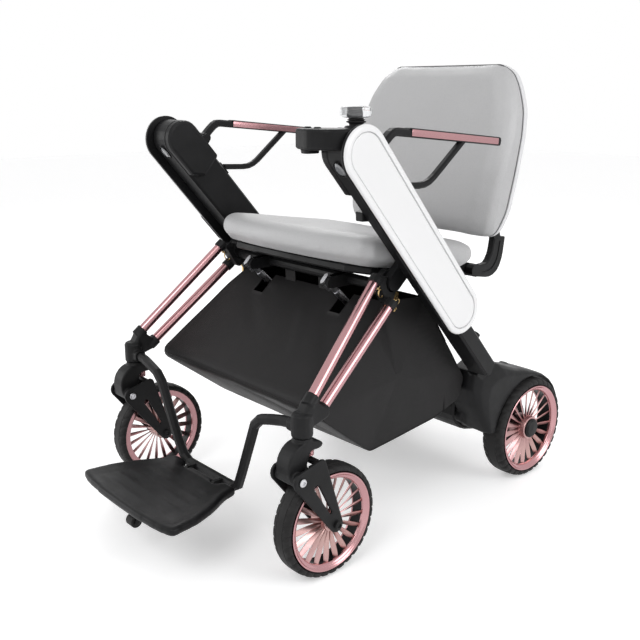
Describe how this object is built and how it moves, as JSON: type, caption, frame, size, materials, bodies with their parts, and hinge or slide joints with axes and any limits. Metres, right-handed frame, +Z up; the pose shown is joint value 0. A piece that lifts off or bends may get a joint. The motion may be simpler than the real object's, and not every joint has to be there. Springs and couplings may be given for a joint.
{
  "type": "folding electric wheelchair",
  "caption": "Folding power wheelchair with sloping side beams, padded seat and hinged back, swivelling sprung casters, powered rear wheels, lift-up armrests and joystick.",
  "frame": {"origin": "on the floor, under the middle of the bounding box of the unfolded chair standing on its four wheels", "axes": "+X is to the left of a person who sits in the chair, -Y is ahead, +Z is up"},
  "size_m": [0.6, 0.9325, 0.849],
  "materials": {
    "satin_black": "satin",
    "cast_black": "matte",
    "rose_gold": "polished, anodised",
    "brass": "satin",
    "steel": "brushed",
    "gloss_white": "gloss",
    "shell_white": "satin",
    "grey_leather": "fine grain",
    "bag_fabric": "woven",
    "tyre_rubber": "matte",
    "clear_knob": "clear",
    "lamp_lens": "clear lens"
  },
  "bodies": {
    "main_frame": {"left_beam": "satin_black", "right_beam": "satin_black", "left_side_cover": "gloss_white", "right_side_cover": "gloss_white", "left_headlamp": "lamp_lens", "right_headlamp": "lamp_lens", "joystick_pod": "satin_black", "rear_drive_housing": "cast_black", "left_fender": "satin_black", "right_fender": "satin_black", "battery_pack": "satin_black", "bag": "bag_fabric"},
    "front_frame": {"front_cross_tube": "cast_black", "left_front_leg": "rose_gold", "right_front_leg": "rose_gold", "left_rear_leg": "rose_gold", "right_rear_leg": "rose_gold", "left_head_casting": "cast_black", "right_head_casting": "cast_black", "footrest_tube": "cast_black"},
    "seat": {"seat_pan": "cast_black", "seat_cushion": "grey_leather"},
    "back": {"backrest_shell": "shell_white", "backrest_cushion": "grey_leather", "back_bracket": "cast_black"},
    "footplate": {"footplate": "satin_black"},
    "footplate_roller": {"footplate_roller": "tyre_rubber"},
    "left_armrest": {"left_armrest_frame": "satin_black", "left_armrest_inlay": "rose_gold"},
    "left_caster_crown": {"left_crown": "cast_black", "left_spring": "rose_gold"},
    "left_caster_arm": {"left_suspension_arm": "cast_black"},
    "left_caster_wheel": {"left_caster_tyre": "tyre_rubber", "left_caster_rim": "rose_gold"},
    "left_drive_wheel": {"left_drive_tyre": "tyre_rubber", "left_drive_rim": "rose_gold", "left_hub_cap": "satin_black"},
    "left_strut_tube": {"left_strut_tube": "cast_black"},
    "left_strut_rod": {"left_strut_rod": "steel"},
    "left_latch": {"left_latch": "brass"},
    "left_freewheel_lever": {"left_freewheel_lever": "cast_black"},
    "right_armrest": {"right_armrest_frame": "satin_black", "right_armrest_inlay": "rose_gold"},
    "right_caster_crown": {"right_crown": "cast_black", "right_spring": "rose_gold"},
    "right_caster_arm": {"right_suspension_arm": "cast_black"},
    "right_caster_wheel": {"right_caster_tyre": "tyre_rubber", "right_caster_rim": "rose_gold"},
    "right_drive_wheel": {"right_drive_tyre": "tyre_rubber", "right_drive_rim": "rose_gold", "right_hub_cap": "satin_black"},
    "right_strut_tube": {"right_strut_tube": "cast_black"},
    "right_strut_rod": {"right_strut_rod": "steel"},
    "right_latch": {"right_latch": "brass"},
    "right_freewheel_lever": {"right_freewheel_lever": "cast_black"},
    "stick_gimbal": {"stick_gimbal": "steel"},
    "joystick": {"joystick_boot": "tyre_rubber", "joystick_knob": "clear_knob"},
    "power_button": {"power_button": "cast_black"},
    "horn_button": {"horn_button": "cast_black"}
  },
  "joints": [
    {"name": "frame_fold", "type": "hinge", "parent": "main_frame", "child": "front_frame", "pos_m": [0, -0.0323, 0.47495], "axis": [1, 0, 0], "range_deg": [0, 42], "deforming": ["bag"]},
    {"name": "seat_fold", "type": "hinge", "parent": "main_frame", "child": "seat", "pos_m": [0, 0.04635, 0.4617], "axis": [1, 0, 0], "range_deg": [-42, 0]},
    {"name": "back_fold", "type": "hinge", "parent": "seat", "child": "back", "pos_m": [0, 0.2687, 0.445], "axis": [1, 0, 0], "range_deg": [0, 36]},
    {"name": "footplate_flip", "type": "hinge", "parent": "front_frame", "child": "footplate", "pos_m": [0, -0.2933, 0.106], "axis": [-1, 0, 0], "range_deg": [0, 80]},
    {"name": "footplate_roller_spin", "type": "hinge", "parent": "footplate", "child": "footplate_roller", "pos_m": [0, -0.4363, 0.066], "axis": [1, 0, 0], "continuous": true},
    {"name": "left_armrest_lift", "type": "hinge", "parent": "main_frame", "child": "left_armrest", "pos_m": [0.25, -0.09326, 0.70501], "axis": [1, 0, 0], "range_deg": [0, 72]},
    {"name": "left_caster_swivel", "type": "hinge", "parent": "front_frame", "child": "left_caster_crown", "pos_m": [0.265, -0.2713, 0.26], "axis": [0, 0, 1], "continuous": true},
    {"name": "left_suspension", "type": "hinge", "parent": "left_caster_crown", "child": "left_caster_arm", "pos_m": [0.265, -0.2973, 0.2], "axis": [1, 0, 0], "range_deg": [0, 4], "stiffness_Nm_per_rad": 60, "springref_deg": -25.78, "deforming": ["left_spring"]},
    {"name": "left_caster_wheel_spin", "type": "hinge", "parent": "left_caster_arm", "child": "left_caster_wheel", "pos_m": [0.265, -0.2223, 0.1], "axis": [1, 0, 0], "continuous": true},
    {"name": "left_drive_wheel_spin", "type": "hinge", "parent": "main_frame", "child": "left_drive_wheel", "pos_m": [0.248, 0.3597, 0.1066], "axis": [1, 0, 0], "continuous": true},
    {"name": "left_strut_swing", "type": "hinge", "parent": "main_frame", "child": "left_strut_tube", "pos_m": [0.115, 0.1387, 0.255], "axis": [1, 0, 0], "range_deg": [0, 1.8]},
    {"name": "left_strut_extend", "type": "slide", "parent": "left_strut_tube", "child": "left_strut_rod", "axis": [0, -0.7267, 0.6869], "range_m": [-0.0352, 0]},
    {"name": "left_latch_turn", "type": "hinge", "parent": "front_frame", "child": "left_latch", "pos_m": [0.2222, -0.0186, 0.43735], "axis": [1, 0, 0], "range_deg": [-25, 0], "stiffness_Nm_per_rad": 0.3, "springref_deg": 5.73},
    {"name": "left_freewheel_turn", "type": "hinge", "parent": "main_frame", "child": "left_freewheel_lever", "pos_m": [0.258, 0.1694, 0.34272], "axis": [0, 0.7508, 0.6605], "range_deg": [0, 90]},
    {"name": "right_armrest_lift", "type": "hinge", "parent": "main_frame", "child": "right_armrest", "pos_m": [-0.25, -0.09326, 0.70501], "axis": [1, 0, 0], "range_deg": [0, 72]},
    {"name": "right_caster_swivel", "type": "hinge", "parent": "front_frame", "child": "right_caster_crown", "pos_m": [-0.265, -0.2713, 0.26], "axis": [0, 0, 1], "continuous": true},
    {"name": "right_suspension", "type": "hinge", "parent": "right_caster_crown", "child": "right_caster_arm", "pos_m": [-0.265, -0.2973, 0.2], "axis": [1, 0, 0], "range_deg": [0, 4], "stiffness_Nm_per_rad": 60, "springref_deg": -25.78, "deforming": ["right_spring"]},
    {"name": "right_caster_wheel_spin", "type": "hinge", "parent": "right_caster_arm", "child": "right_caster_wheel", "pos_m": [-0.265, -0.2223, 0.1], "axis": [1, 0, 0], "continuous": true},
    {"name": "right_drive_wheel_spin", "type": "hinge", "parent": "main_frame", "child": "right_drive_wheel", "pos_m": [-0.248, 0.3597, 0.1066], "axis": [1, 0, 0], "continuous": true},
    {"name": "right_strut_swing", "type": "hinge", "parent": "main_frame", "child": "right_strut_tube", "pos_m": [-0.115, 0.1387, 0.255], "axis": [1, 0, 0], "range_deg": [0, 1.8]},
    {"name": "right_strut_extend", "type": "slide", "parent": "right_strut_tube", "child": "right_strut_rod", "axis": [0, -0.7267, 0.6869], "range_m": [-0.0352, 0]},
    {"name": "right_latch_turn", "type": "hinge", "parent": "front_frame", "child": "right_latch", "pos_m": [-0.2222, -0.0186, 0.43735], "axis": [1, 0, 0], "range_deg": [-25, 0], "stiffness_Nm_per_rad": 0.3, "springref_deg": 5.73},
    {"name": "right_freewheel_turn", "type": "hinge", "parent": "main_frame", "child": "right_freewheel_lever", "pos_m": [-0.258, 0.1694, 0.34272], "axis": [0, -0.7508, -0.6605], "range_deg": [0, 90]},
    {"name": "stick_fore_aft", "type": "hinge", "parent": "main_frame", "child": "stick_gimbal", "pos_m": [0.26, -0.1533, 0.741], "axis": [1, 0, 0], "range_deg": [-10, 10], "stiffness_Nm_per_rad": 0.6},
    {"name": "stick_left_right", "type": "hinge", "parent": "stick_gimbal", "child": "joystick", "pos_m": [0.26, -0.1533, 0.741], "axis": [0, 1, 0], "range_deg": [-10, 10], "stiffness_Nm_per_rad": 0.6},
    {"name": "power_button_press", "type": "slide", "parent": "main_frame", "child": "power_button", "axis": [0, 0, -1], "range_m": [0, 0.0015], "stiffness_N_per_m": 300, "springref_m": -0.0005},
    {"name": "horn_button_press", "type": "slide", "parent": "main_frame", "child": "horn_button", "axis": [0, 0, -1], "range_m": [0, 0.0015], "stiffness_N_per_m": 300, "springref_m": -0.0005}
  ],
  "couplings": [
    {"joint": "seat_fold", "follows": "frame_fold", "ratio": -1},
    {"joint": "left_strut_swing", "follows": "frame_fold", "ratio": 0.0424},
    {"joint": "left_strut_extend", "follows": "frame_fold", "m_per_rad": -0.04768},
    {"joint": "right_strut_swing", "follows": "frame_fold", "ratio": 0.0424},
    {"joint": "right_strut_extend", "follows": "frame_fold", "m_per_rad": -0.04768}
  ]
}
